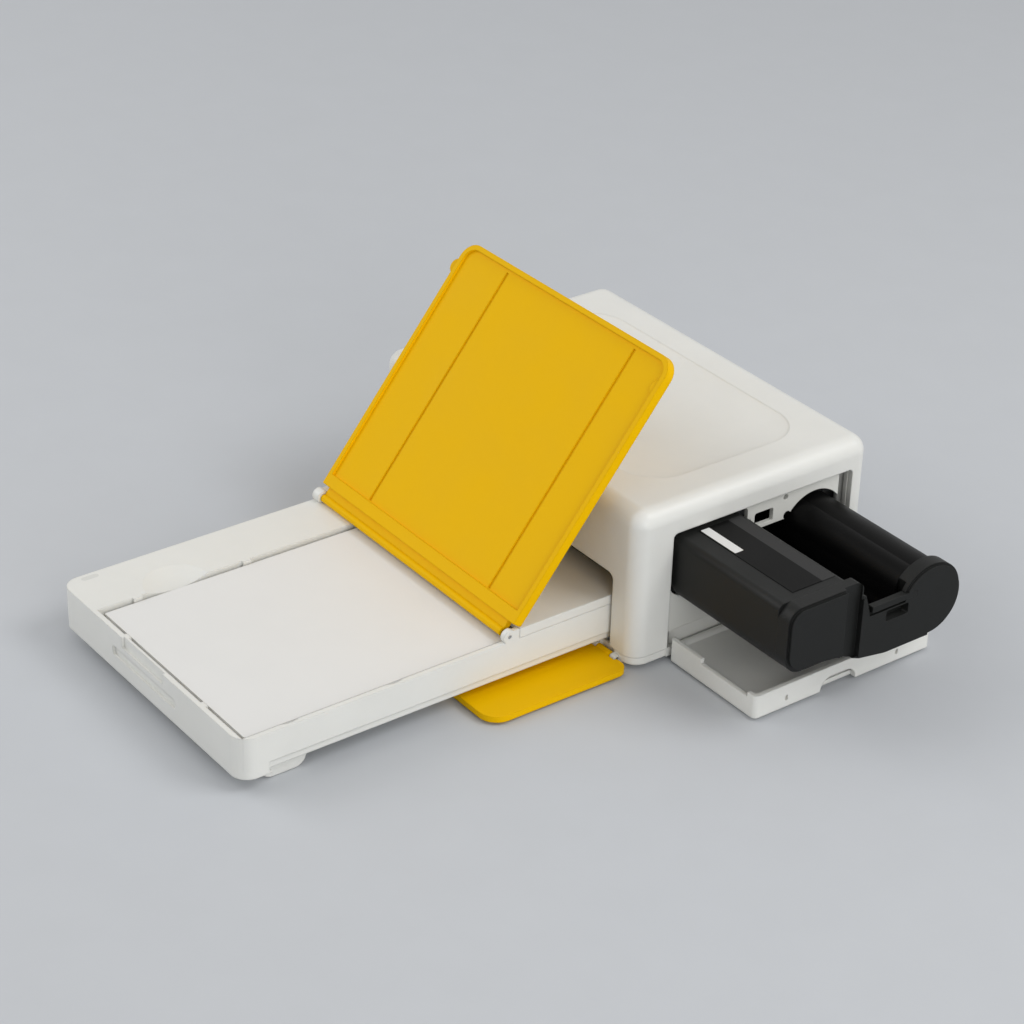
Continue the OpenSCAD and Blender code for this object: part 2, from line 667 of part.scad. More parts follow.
// Outline of the cartridge's outer end, grown by g on every side
module cart_outline(g) {
    y = supply_y1;
    quad(cart_y - g, supply_z - g, y + 3.5 + g, supply_z + supply_h + g, [8, 2.5, 2.5, 6]);
    translate([takeup_y, takeup_z]) circle(cap_r + g);
    polygon([[cart_y + 12, supply_z + 2], [y - 6.5, supply_z - 1.2 - g], [y + 4.5, web_z + 2.2 - g],
        [y + 17.5, web_z - g], [takeup_y, web_z - g], [takeup_y, latch_z + g], [y + 8 + g, latch_z + g],
        [y + 5.3 + g, supply_z + 21.8 + g], [y + 3.5, supply_z + 22.5 + g]]);
}

// Hole that the whole cartridge passes through with g to spare
module cart_hole(g) {
    cart_outline(g);
    supply_outline(-g);
    latch_outline(g);
}

// Outline of the latch bar over the gap between the two housings, grown by g
module latch_outline(g) {
    quad(supply_y1 + 8.2 - g, latch_z + 0.1 - g, supply_y1 + 31 + g, latch_z + 2.6 + g);
}

module bay_wall() place() color(white) difference() {
    along_x(bay_x - 2, bay_x)
        quad(bay_y0 - 2.5, 11.2, bay_y1 + 1.6, bay_top + 2, [2, 2, 2, 2]);
    along_x(bay_x - 3, bay_x + 1) {
        cart_hole(0.6);
        translate([supply_y1, latch_z]) {
            quad(7.9, 4.8, 17.5, 10.5, [0.5, 0.5, 1, 1]);
            translate([23.7, 13.1]) circle(1.2);
            translate([25.1, 4.4]) circle(1.9);
        }
        quad(takeup_y + 12.6, takeup_z + 3, bay_y1 - 0.3, bay_top - 0.2);
    }
}

// Shafts that run in a side plate: [y, z]
running = [[platen_y, platen_z], [feed_y, feed_z], [pickup_y, pickup_z]];
bushing_r = shaft_d / 2 + 1.1;
screw_yz = [[head_y - 3.5, plate_z1 - 3.2], [head_y + 6.5, plate_z1 - 3.2]];

module plate_blank() {
    difference() {
        quad(plate_y0, floor_z, plate_y1, plate_z1, [1, 1, 4, 4]);
        for (p = running) translate(p) circle(bushing_r);
        translate([feed_y, pinch_z]) circle(1.5 + run);
        translate([pivot_y, pivot_z]) circle(shaft_d / 2);
        for (p = screw_yz) translate(p) circle(screw_r + run);
    }
}

module left_side_plate() place() color(steel) difference() {
    union() {
        along_x(left_x - plate_s, left_x) plate_blank();
        for (p = [[idler_y, idler_z], [pickup_idler_y, pickup_idler_z], [ribbon_idler_y, ribbon_idler_z]])
            rod_x(gear_x - gear_t - 1.2, left_x - plate_s + 0.2, p[0], p[1], 1.5);
        for (y = foot_yz)
            box(left_x - plate_s - 8, left_x - 0.5, y - 5, y + 5, floor_z, floor_z + plate_s);
    }
    rod_x(left_x - 5, left_x + 1, motor_y, motor_z, 3.6);
    for (d = [-14, 14]) rod_x(left_x - 5, left_x + 1, motor_y + d, motor_z, screw_r + run);
    rod_x(left_x - 5, left_x + 1, takeup_y, takeup_z, shaft_d / 2 + run);
    rod_x(left_x - 5, left_x + 1, supply_y, supply_zc, shaft_d / 2 + run);
    for (p = floor_screws) translate([p[0], p[1], 0]) cylinder(r = screw_r + run, h = 20);
}

module right_side_plate() place() color(steel) difference() {
    union() {
        along_x(right_x, right_x + plate_s) plate_blank();
        for (y = foot_yz)
            box(right_x + 0.5, right_x + plate_s + 7, y + 7, y + 17, floor_z, floor_z + plate_s);
    }
    along_x(right_x - 1, right_x + plate_s + 1) cart_hole(0.8);
    for (p = floor_screws) translate([p[0], p[1], 0]) cylinder(r = screw_r + run, h = 20);
}

cross_xc = (left_x + right_x) / 2;

module cross_plate() place() color(steel) difference() {
    union() {
        box(left_x, right_x, head_y - 8, head_y + 12, plate_z1 - 1.6, plate_z1 - 0.1);
        for (x = [left_x, right_x - plate_s])
            box(x, x + plate_s, head_y - 8, head_y + 12, plate_z1 - 5.6, plate_z1 - 1);
    }
    for (p = screw_yz) rod_x(left_x - 1, right_x + 1, p[0], p[1], screw_r + run);
    for (d = [-44, -9, 26]) box(cross_xc + d, cross_xc + d + 18, head_y + 4, head_y + 8, 50, 80);
}

// Screw along +X with its head at x
module screw_x(x, y, z, l) {
    rod_x(x - 1.3, x, y, z, 2.3);
    rod_x(x - 0.1, x + l, y, z, screw_r);
}

module plate_screws() place() color(steel) {
    for (p = screw_yz) {
        screw_x(left_x - plate_s, p[0], p[1], 2 * plate_s + 1);
        translate([right_x + plate_s, 0, 0]) mirror([1, 0, 0]) screw_x(0, p[0], p[1], 2 * plate_s + 1);
    }
    for (d = [-14, 14]) screw_x(left_x - plate_s, motor_y + d, motor_z, plate_s + 1);
    for (p = floor_screws) floor_screw(p);
}

module floor_screw(p) {
    translate([p[0], p[1], floor_z + plate_s]) {
        cylinder(r = 2.3, h = 1.3);
        translate([0, 0, -plate_s - 1.3]) cylinder(r = screw_r, h = plate_s + 2);
    }
}

// ---------- Print head ----------

head_x0 = paper_x0 - 1;
head_x1 = paper_x1 + 0.6;

module print_head() place() color([0.75, 0.72, 0.65]) {
    box(head_x0, head_x1, head_y - head_w / 2, head_y + head_w / 2, head_z, sink_z);
    rod_x(head_x0 + 2, head_x1 - 2, head_y, head_z + 0.9, 1.2);
}

module head_heat_sink() place() color([0.62, 0.63, 0.65]) {
    box(head_x0, head_x1, head_y - head_w / 2, head_y + head_w / 2, sink_z, sink_z + 2.5);
    for (i = [-2:2])
        box(head_x0, head_x1, head_y + i * 2.9 - 0.6, head_y + i * 2.9 + 0.6, sink_z + 2, 50.5);
    for (x = [head_x0 + 4, paper_xc - 7.4, head_x1 - 16])
        box(x, x + 12, head_y - 5, head_y + 5, sink_z + 2, arm_z);
}

module head_arm() place() color(steel) {
    difference() {
        box(head_x0, head_x1, head_y - 5, pivot_y - 14, arm_z, arm_z + plate_s);
        for (x = [head_x0 + 12, head_x1 - 45])
            box(x, x + 33, head_y + 10, pivot_y - 20, arm_z - 1, arm_z + 5);
    }
    for (x = [head_x0, head_x1 - plate_s - 1]) along_x(x, x + plate_s + 1) difference() {
        union() {
            polygon([[head_y + 8, arm_z], [pivot_y - 4, arm_z], [pivot_y, pivot_z - 4.4],
                [pivot_y, pivot_z + 4.4], [pivot_y - 6, pivot_z + 3], [head_y + 8, arm_z + plate_s]]);
            translate([pivot_y, pivot_z]) circle(4.4);
        }
        translate([pivot_y, pivot_z]) circle(shaft_d / 2 + run);
    }
}

module head_pivot_shaft() place() color(steel)
    rod_x(left_x - plate_s - 0.8, right_x + plate_s + 0.8, pivot_y, pivot_z, shaft_d / 2);

module head_springs() place() color(steel)
    for (d = [-35, 35]) translate([paper_xc + d, head_y, arm_z + plate_s])
        coil(6.4, plate_z1 - 1.6 - arm_z - plate_s, 4, 0.7);

// ---------- Rollers and gears ----------

shaft_x0 = gear_x - gear_t - 0.6;
shaft_x1 = right_x + plate_s + 1.4;

module platen_roller() place() color(black) {
    rod_x(paper_x0 - 3, paper_x1 + 1, platen_y, platen_z, platen_r);
    rod_x(shaft_x0, shaft_x1, platen_y, platen_z, shaft_d / 2);
}

module feed_roller() place() color(steel) {
    for (x = [paper_x0 + 2, paper_xc - 14, paper_x1 - 30])
        rod_x(x, x + 28, feed_y, feed_z, feed_r);
    rod_x(shaft_x0, shaft_x1, feed_y, feed_z, shaft_d / 2);
}

module pinch_roller() place() color(black) {
    for (x = [paper_x0 + 6, paper_xc - 10, paper_x1 - 26])
        rod_x(x, x + 20, feed_y, pinch_z, pinch_r);
    rod_x(left_x - plate_s - 0.6, right_x + plate_s + 0.6, feed_y, pinch_z, 1.5);
}

module pickup_roller() place() color(black) {
    for (x = [paper_xc - 14, paper_xc + 4]) {
        rod_x(x, x + 10, pickup_y, pickup_z, pickup_r);
        rod_x(x - 1, x + 11, pickup_y, pickup_z, shaft_d / 2 + 0.5);
    }
    rod_x(shaft_x0, shaft_x1, pickup_y, pickup_z, shaft_d / 2);
}

module shaft_bushings() place() color(nylon)
    for (p = running) {
        difference() {
            union() {
                rod_x(left_x - plate_s - 0.8, left_x + 0.1, p[0], p[1], bushing_r);
                rod_x(left_x - plate_s - 0.8, left_x - plate_s, p[0], p[1], bushing_r + 1);
            }
            rod_x(left_x - 5, left_x + 5, p[0], p[1], shaft_d / 2 + run);
        }
        difference() {
            union() {
                rod_x(right_x, right_x + plate_s + 0.8, p[0], p[1], bushing_r);
                rod_x(right_x + plate_s, right_x + plate_s + 0.8, p[0], p[1], bushing_r + 1);
            }
            rod_x(right_x - 5, right_x + 5, p[0], p[1], shaft_d / 2 + run);
        }
    }

module platen_gear() place() color(nylon) gear(platen_n, platen_y, platen_z, platen_turn, shaft_d / 2);
module feed_gear() place() color(nylon) gear(feed_n, feed_y, feed_z, feed_turn, shaft_d / 2);
module pickup_gear() place() color(nylon)
    gear(pickup_n, pickup_y, pickup_z, pickup_turn, shaft_d / 2);
module main_idler_gear() place() color(nylon)
    gear(idler_n, idler_y, idler_z, idler_turn, 1.5 + run, 6);
module pickup_idler_gear() place() color(nylon)
    gear(pickup_idler_n, pickup_idler_y, pickup_idler_z, pickup_idler_turn, 1.5 + run);
module ribbon_idler_gear() place() color(nylon)
    gear(ribbon_idler_n, ribbon_idler_y, ribbon_idler_z, ribbon_idler_turn, 1.5 + run);

module retaining_clips() place() color(steel)
    for (p = [[idler_y, idler_z], [pickup_idler_y, pickup_idler_z], [ribbon_idler_y, ribbon_idler_z]])
        difference() {
            rod_x(gear_x - gear_t - 0.8, gear_x - gear_t - 0.2, p[0], p[1], 2.8);
            rod_x(gear_x - gear_t - 2, gear_x, p[0], p[1], 1.5);
        }

module drive_motor() place() color([0.55, 0.56, 0.58]) difference() {
    union() {
        rod_x(left_x, left_x + motor_l, motor_y, motor_z, motor_d / 2);
        rod_x(left_x - plate_s - 0.2, left_x + 1, motor_y, motor_z, 3.5);
        along_x(left_x, left_x + 1) {
            quad(motor_y - 14, motor_z - 3.5, motor_y + 14, motor_z + 3.5);
            for (d = [-14, 14]) translate([motor_y + d, motor_z]) circle(3.5);
        }
    }
    rod_x(left_x - 5, left_x + motor_l - 2, motor_y, motor_z, 1 + run);
    for (d = [-14, 14]) rod_x(left_x - 1, left_x + 2, motor_y + d, motor_z, screw_r);
}

module motor_pinion() place() color(nylon) {
    gear(pinion_n, motor_y, motor_z, pinion_turn, 1);
    rod_x(gear_x - gear_t - 0.5, left_x + motor_l - 3, motor_y, motor_z, 1);
}

// Nose that turns a cartridge spool
module spool_nose(y, z) {
    difference() {
        rod_x(left_x + 0.3, cart_in - cart_draw + 2.6, y, z, 3.6);
        for (a = [0:60:300]) translate([0, y + 4 * cos(a), z + 4 * sin(a)])
            rod_x(left_x + 5, cart_in, 0, 0, 0.9);
    }
}

module take_up_drive() place() color(nylon) {
    gear(takeup_n, takeup_y, takeup_z, takeup_turn, shaft_d / 2, 6);
    rod_x(gear_x - gear_t, left_x + 1, takeup_y, takeup_z, shaft_d / 2);
    spool_nose(takeup_y, takeup_z);
}

module supply_drive() place() color(nylon) {
    rod_x(left_x - plate_s - 2.2, left_x - plate_s - 0.4, supply_y, supply_zc, 5);
    rod_x(left_x - plate_s - 1, left_x + 1, supply_y, supply_zc, shaft_d / 2);
    spool_nose(supply_y, supply_zc);
}

// ---------- Ribbon cartridge ----------

module supply_outline(g) {
    quad(cart_y + g, supply_z + g, supply_y1 - g, supply_z + supply_h - g,
        [8 - g, 2.5 - g, 2.5 - g, 2.8 - g]);
}

// Round tube of the take-up housing with the ridge along its front, shrunk by g
module take_up_outline(g) {
    translate([takeup_y, takeup_z]) circle(tube_r - g);
    translate([takeup_y - 5.5, takeup_z + 5.2]) circle(tube_r - 5.9 - g);
}

module cartridge_supply_housing() place() color(black) along_x(cart_in + end_t, cap_x) difference() {
    supply_outline(0);
    supply_outline(cart_wall);
    translate([supply_y1 - 5, supply_z - 1]) square([7, 4.4]);
}

module cartridge_take_up_housing() place() color(black) along_x(cart_in + end_t, cap_x) difference() {
    take_up_outline(0);
    take_up_outline(cart_wall);
    translate([takeup_y - tube_r - 1, film_z - 0.8]) square([9, 2]);
}

module cartridge_inner_end() place() color(black) difference() {
    along_x(cart_in, cart_in + end_t) {
        supply_outline(0);
        take_up_outline(0);
        quad(supply_y1 - 6, supply_z - 0.9, takeup_y, supply_z + 1.1);
    }
    rod_x(cart_in - 1, cap_x, supply_y, supply_zc, 5);
    rod_x(cart_in - 1, cap_x, takeup_y, takeup_z, 5);
}

module cartridge_end_cap() place() color(black) difference() {
    union() {
        along_x(cap_x, cart_out - 1.2) cart_outline(0);
        along_x(cart_out - 1.3, cart_out) cart_outline(-1);
    }
    along_x(cart_out - cap_groove, cart_out + 1)
        quad(supply_y1 - 5.5, supply_z - 4, supply_y1 + 3, supply_z + supply_h + 1);
    along_x(cart_out - 4, cart_out + 1) translate([supply_y1, latch_z])
        quad(15.5, -6.2, 27, -1.4, [1, 1, 1, 1]);
    along_x(cap_x - 1, cart_out - 3)
        quad(supply_y1 + 10, latch_z - 4.5, takeup_y - 11.5, latch_z + 16, [1, 1, 1, 1]);
    along_x(cart_out - 3, cart_out + 1) latch_outline(0.1);
    rod_x(cap_x - 1, cap_x + 3.5, supply_y, supply_zc, 2.5 + run);
    rod_x(cap_x - 1, cap_x + 3.5, takeup_y, takeup_z, 2.5 + run);
}

module cartridge_latch() place() color(black)
    along_x(cart_out - 2.9, cart_out) latch_outline(0);

module cartridge_label() place() color([0.16, 0.17, 0.17])
    box(cap_x - 58, cap_x - 4, cart_y + 10, cart_y + 31, supply_z + supply_h, supply_z + supply_h + 0.2);

// Spool with the film wound on it
module spool(y, z, core_r, wound_r) {
    difference() {
        union() {
            rod_x(cart_in + 0.2, cart_in + end_t + 1, y, z, 5 - run);
            rod_x(cart_in + end_t + 0.3, cap_x - 0.3, y, z, core_r);
            rod_x(film_x0, film_x1 - 0.4, y, z, wound_r);
            rod_x(cap_x - 1, cap_x + 3, y, z, 2.5);
        }
        rod_x(cart_in - 1, cart_in + 5, y, z, 4.1);
    }
}

module supply_spool() place() color([0.25, 0.25, 0.27]) spool(supply_y, supply_zc, 6, 10.5);
module take_up_spool() place() color([0.25, 0.25, 0.27]) spool(takeup_y, takeup_z, 6.5, 7.4);

module ribbon_film() place() color([0.1, 0.1, 0.12]) along_x(film_x0, film_x1 - 0.4) {
    z0 = supply_zc - 10.5;
    polygon([[supply_y + 1, z0 - 0.4], [supply_y1 - 2, film_z], [takeup_y, film_z],
        [takeup_y, film_z + film_t], [supply_y1 - 2, film_z + film_t], [supply_y + 1, z0 - 0.1]]);
}

// ---------- Paper tray ----------

deck_x = well_x0 - 0.01;
pin_r = lid_pin_d / 2;

tray_foot_x = [tray_x0 + 5.2, tray_x1 - 14.2];
tray_foot_y0 = tray_y0 + 11.5;
tray_foot_l = 19.5;

// Hollow feet under the front of the tray
module tray_feet() place() color(white)
    for (x = tray_foot_x) difference() {
        along_x(x, x + 9) quad(tray_foot_y0, 0, tray_foot_y0 + tray_foot_l, tray_z, [5, 5, 0.5, 0.5]);
        box(x + 1.5, x + 7.5, tray_foot_y0 + 3.5, tray_foot_y0 + tray_foot_l - 3.5, -1, tray_z - 1.5);
    }

module tray_base() place() color(white) difference() {
    union() {
        translate([0, 0, tray_z]) linear_extrude(tray_h)
            quad(tray_x0, tray_y0, tray_x1, tray_y1, [tray_r, tray_r, 1.5, 1.5]);
        translate([0, 0, tray_z - 1.8]) linear_extrude(2.8) difference() {
            quad(tray_x0, tray_y0, tray_x1, tray_y0 + 13, [tray_r, tray_r, 0.5, 0.5]);
            quad(tray_x0 + 2, tray_y0 + 2, tray_x1 - 2, tray_y0 + 15, [tray_r - 2, tray_r - 2, 0.5, 0.5]);
        }
        for (x = [tray_x0, tray_x1 - ear_w]) {
            rod_x(x, x + ear_w, lid_hinge_y, lid_hinge_z, lid_top + 0.8);
            box(x, x + ear_w, lid_hinge_y - 1.5, cover_y0 - 0.1, tray_z1 - 1, tray_z1 + 0.8);
            box(x, x + ear_w, lid_hinge_y, cover_y0 - 0.1, tray_z1 - 1, cover_z1);
        }
    }
    difference() {
        box(well_x0, well_x1, well_y0, well_y1, well_z, cover_z1 + 1);
        well_ribs();
    }
    box(paper_x0 + 4, paper_x1 - 4, well_y1 - 1, tray_y1 + 1, 18.5, cover_z1);
    margin_pocket();
    rod_x(tray_x0 - 1, tray_x0 + ear_w + 1, lid_hinge_y, lid_hinge_z, pin_r);
    rod_x(tray_x1 - ear_w - 1, tray_x1 + 1, lid_hinge_y, lid_hinge_z, pin_r);
    for (y = [22.2, 67.6]) translate([well_x1 - 9.7, tray_y0 + y, tray_z1 - 2.5])
        cylinder(r = 10.5, h = 5);
    translate([0, tray_y0 + 1.1, 0]) rotate([90, 0, 0]) linear_extrude(3) {
        quad(tray_x - 25.8, tray_z + 4.8, tray_x + 20.2, tray_z + 8.7, [1, 1, 1, 1]);
        quad(tray_x - 18.3, tray_z1 - 4.6, tray_x + 11.7, tray_z1 + 1);
    }
    translate([well_x0, tray_y0 + 37.5, tray_z1 + 32.2]) sphere(35);
    for (x = [tray_x0 - 1, tray_x1 - 1])
        box(x, x + 2, tray_y0 + tray_r + 5, tray_y1 + 1, tray_z - 1, tray_z + 3.2);
    for (x = [paper_xc - 35.4, paper_xc + 10.6])
        box(x, x + 8, spring_y - 15, spring_y + 9, tray_z - 1, well_z + 1);
}

// What stands up from the floor and walls of the paper well
module well_ribs() {
    for (i = [0:4])
        box(paper_x0 + 8 + 21 * i, paper_x0 + 9.6 + 21 * i, well_y0 - 1, lift_y - 4, well_z - 1, paper_z0);
    for (x = [paper_xc - 29.7, paper_xc + 25.6])
        box(x - 1.7, x + 1.7, well_y0 - 1, paper_y0 - 0.2, well_z - 1, tray_z1);
    for (y = [19.5, 68.6])
        box(well_x0 - 1, paper_x0 - 0.2, tray_y0 + y - 2, tray_y0 + y + 2, well_z - 1, tray_z1);
    for (x = [lift_x0 + 6, lift_x1 - 10]) {
        box(x, x + 4, lift_y - 2, lift_y + 2, well_z - 1, lift_z + 0.9);
        rod_x(x - 2.6, x + 6.6, lift_y, lift_z, 0.8);
    }
}

// Hollow under the margin beside the paper well, open below
module margin_pocket() {
    w = (well_x0 - tray_wall) - (tray_x0 + tray_wall);
    for (i = [0:4]) {
        y = tray_y0 + tray_r + i * 36;
        box(tray_x0 + tray_wall, tray_x0 + tray_wall + w, y + (i == 0 ? 25 : 0), y + 34,
            tray_z - 1, tray_z1 - (i < 2 ? 6 : tray_wall));
    }
}

module tray_rear_cover() place() color(white) difference() {
    translate([0, 0, tray_z1]) linear_extrude(cover_rise)
        quad(tray_x0, cover_y0, tray_x1, tray_y1, [0.5, 0.5, 1.5, 1.5]);
    translate([0, 0, tray_z1 - 1]) linear_extrude(cover_rise + 1 - plate_t) {
        quad(tray_x0 + tray_wall, cover_y0 + tray_wall, deck_x - 1, tray_y1 - tray_wall);
        quad(deck_x + 1, cover_y0 - 1, tray_x1 - tray_wall, tray_y1 + 1);
    }
    for (x = [paper_xc - 15.2, paper_xc + 2.8])
        box(x, x + 12.4, pickup_y - pickup_r - 1.2, tray_y1 + 1, tray_z1 - 1, cover_z1 + 1);
    for (x = [tray_x0, tray_x1 - ear_w])
        box(x - 1, x + ear_w + 0.3, cover_y0 - 1, cover_y0 + 0.1, 0, 60);
    along_x(tray_x0 - 1, tray_x1 + 1) polygon([[tray_y1 + 1, cover_z1 - 2.6], [tray_y1 + 1, cover_z1 + 1],
        [tray_y1 - 2.6, cover_z1 + 1]]);
}

module tray_lid() place() color(yellow) translate([0, lid_hinge_y, lid_hinge_z])
    rotate([-lid_open, 0, 0]) difference() {
        union() {
            translate([0, 0, lid_top - lid_t]) linear_extrude(lid_t) lid_outline(0);
            translate([0, 0, -lid_top]) linear_extrude(2 * lid_top) difference() {
                lid_outline(0);
                lid_outline(lid_rim);
            }
            translate([0, 0, -lid_top]) linear_extrude(2 * lid_top - 1)
                quad(lid_x0, -lid_neck - 5, tray_x1, -lid_neck);
            translate([lid_x0, -lid_tab_y, -1]) linear_extrude(1.6) difference() {
                circle(3.2);
                translate([0.5, -5]) square(10);
            }
            translate([tray_x1 - lid_rim + 0.6, -lid_tab_y, 0.5 - lid_top]) linear_extrude(lid_top)
                difference() {
                    circle(3.2);
                    translate([0, -5]) square(10);
                }
            box(tray_x0 + ear_w + 0.4, tray_x1 - ear_w - 0.4, -lid_neck - 2, 0, -0.6, lid_barrel_r);
            rod_x(tray_x0 + ear_w + 0.4, tray_x1 - ear_w - 0.4, 0, 0, lid_barrel_r);
        }
        rod_x(tray_x0 - 1, tray_x0 + lid_pin_l + 0.5, 0, 0, pin_r + run);
        rod_x(tray_x1 - lid_pin_l - 0.5, tray_x1 + 1, 0, 0, pin_r + run);
        for (x = [paper_xc - 48.4, paper_xc + 32.6])
            box(x - 0.7, x + 0.7, -lid_l + 1.5 + lid_rim, -lid_neck - 5.5, -lid_top - 1,
                lid_top - lid_t + 0.6);
    }

lid_tab_y = lid_l - 12;

module lid_outline(g) {
    r = lid_r - g;
    quad(lid_x0 + g, -lid_l + g, tray_x1 - g, -lid_neck - g, [r, r, 1, 1]);
}

module tray_lid_pins() place() color(steel) {
    rod_x(tray_x0 + 0.2, tray_x0 + lid_pin_l, lid_hinge_y, lid_hinge_z, pin_r);
    rod_x(tray_x1 - lid_pin_l, tray_x1 - 0.2, lid_hinge_y, lid_hinge_z, pin_r);
}

// Lift plate under the rear of the paper
spring_y = paper_y1 - 14;
lift_x0 = paper_x0 + 6;
lift_x1 = paper_x1 - 6;
lift_y = spring_y - 29.9;
lift_z = paper_z0 - 1.9;
lift_t = 1.2;

module tray_lift_plate() place() color(steel) difference() {
    union() {
        box(lift_x0, lift_x1, lift_y, paper_y1 - 1, paper_z0 - 0.1 - lift_t, paper_z0 - 0.1);
        for (x = [lift_x0 + 3.4, lift_x0 + 10.6, lift_x1 - 12.6, lift_x1 - 5.4]) {
            rod_x(x, x + 2, lift_y, lift_z, 1.8);
            box(x, x + 2, lift_y, lift_y + 8, lift_z - 1.2, paper_z0 - 0.5);
        }
    }
    for (x = [lift_x0 + 5.8, lift_x1 - 10.2]) box(x, x + 4.4, lift_y - 3, lift_y + 2.4, 0, 40);
    for (x = [lift_x0 + 3, lift_x1 - 13]) rod_x(x, x + 10, lift_y, lift_z, 0.8 + run);
}

module lift_spring() place() color(steel) translate([paper_xc, spring_y, well_z])
    coil(10, paper_z0 - 0.1 - lift_t - well_z, 2.5, 0.7);

module separation_pad() place() color([0.45, 0.3, 0.2]) along_x(paper_xc - 9, paper_xc + 9)
    polygon([[paper_y1 + 0.3, 16.5], [well_y1, 16.5], [well_y1, 18.5], [tray_y1 - 0.4, 18.5],
        [tray_y1 - 0.4, 20.6], [well_y1 + 0.8, 20.6]]);

module paper_stack() place() color([0.97, 0.97, 0.96])
    box(paper_x0, paper_x1, paper_y0, paper_y1, paper_z0, paper_z1);

housing();
bottom_cover();
rubber_feet();
case_screws();
front_door();
front_door_pins();
side_door();
side_door_pins();
bay_wall();
power_button();
button_spring();
status_light_pipe();
main_board();
board_components();
power_inlet();
usb_port();
door_switch();
left_side_plate();
right_side_plate();
cross_plate();
plate_screws();
print_head();
head_heat_sink();
head_arm();
head_pivot_shaft();
head_springs();
platen_roller();
platen_gear();
feed_roller();
feed_gear();
pinch_roller();
pickup_roller();
pickup_gear();
shaft_bushings();
drive_motor();
motor_pinion();
main_idler_gear();
pickup_idler_gear();
ribbon_idler_gear();
take_up_drive();
supply_drive();
retaining_clips();
cartridge_supply_housing();
cartridge_take_up_housing();
cartridge_end_cap();
cartridge_inner_end();
cartridge_latch();
cartridge_label();
supply_spool();
take_up_spool();
ribbon_film();
tray_base();
tray_feet();
tray_rear_cover();
tray_lid();
tray_lid_pins();
tray_lift_plate();
lift_spring();
separation_pad();
paper_stack();
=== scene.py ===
"""Looks for the compact photo printer.

Materials, small pieces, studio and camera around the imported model. Lengths are in metres.
"""

import math
import random

import bmesh
import bpy
from mathutils import Matrix, Vector


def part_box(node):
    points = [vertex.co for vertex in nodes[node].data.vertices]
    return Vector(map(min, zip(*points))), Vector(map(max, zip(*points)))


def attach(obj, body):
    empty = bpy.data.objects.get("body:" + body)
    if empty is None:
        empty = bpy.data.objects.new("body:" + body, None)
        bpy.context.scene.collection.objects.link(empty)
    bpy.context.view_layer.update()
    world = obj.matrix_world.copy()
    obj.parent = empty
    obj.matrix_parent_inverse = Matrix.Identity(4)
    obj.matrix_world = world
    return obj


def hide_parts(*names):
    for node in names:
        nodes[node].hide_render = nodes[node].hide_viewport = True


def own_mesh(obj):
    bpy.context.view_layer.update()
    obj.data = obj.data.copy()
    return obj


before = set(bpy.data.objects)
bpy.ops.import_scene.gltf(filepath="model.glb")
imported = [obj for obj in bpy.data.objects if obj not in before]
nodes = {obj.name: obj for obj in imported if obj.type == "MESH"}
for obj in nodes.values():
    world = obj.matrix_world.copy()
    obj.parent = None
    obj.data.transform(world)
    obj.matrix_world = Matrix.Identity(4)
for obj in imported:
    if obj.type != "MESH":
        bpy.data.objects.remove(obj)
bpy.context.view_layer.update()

MM = 0.001


# ---------- Camera, floor and light ----------

CAMERA_AT = Vector((0.73602, -0.55847, 0.58888))
AZIMUTH, ELEVATION, ROLL = (math.radians(a) for a in (52.6066, 30.0233, 1.7336))
LENS_MM, SENSOR_MM = 97.515, 36.0
CLIP_END = 20

SKY_STRENGTH = 0.58
FLOOR_HALF = 4
FLOOR_DROP = 0.3 * MM


def add_camera():
    """The photograph's camera, found from the straight edges in it."""
    back = Vector(
        (
            math.sin(AZIMUTH) * math.cos(ELEVATION),
            -math.cos(AZIMUTH) * math.cos(ELEVATION),
            math.sin(ELEVATION),
        )
    )
    level = Vector((math.cos(AZIMUTH), math.sin(AZIMUTH), 0))
    upright = back.cross(level)
    right = level * math.cos(ROLL) + upright * math.sin(ROLL)
    up = upright * math.cos(ROLL) - level * math.sin(ROLL)
    data = bpy.data.cameras.new("camera")
    data.lens = LENS_MM
    data.sensor_width = SENSOR_MM
    data.clip_end = CLIP_END
    camera = bpy.data.objects.new("camera", data)
    bpy.context.scene.collection.objects.link(camera)
    turn = Matrix((right, up, back)).transposed().to_4x4()
    camera.matrix_world = Matrix.Translation(CAMERA_AT) @ turn
    bpy.context.scene.camera = camera


def add_lamp(name, place, target, size, power):
    """Square white lamp that faces the target."""
    data = bpy.data.lights.new(name, "AREA")
    data.shape = "SQUARE"
    data.size = size
    data.energy = power
    lamp = bpy.data.objects.new(name, data)
    bpy.context.scene.collection.objects.link(lamp)
    lamp.location = place
    lamp.rotation_euler = (Vector(target) - Vector(place)).to_track_quat("-Z", "Y").to_euler()


def add_world(sky):
    """Even light on the object, and a white background for the camera and reflections."""
    world = bpy.data.worlds.new("studio")
    world.use_nodes = True
    tree = world.node_tree
    tree.nodes.clear()
    n = Nodes(tree)
    rays = n.add("LightPath").outputs
    seen = n.math("MAXIMUM", rays["Is Camera Ray"], rays["Is Glossy Ray"])
    seen = n.math("MAXIMUM", seen, rays["Is Transmission Ray"])
    shader = n.add("Background", {"Strength": n.spread(seen, sky, 1.0, 0.0, 1.0)})
    output = n.add("OutputWorld")
    tree.links.new(shader.outputs[0], output.inputs["Surface"])
    bpy.context.scene.world = world


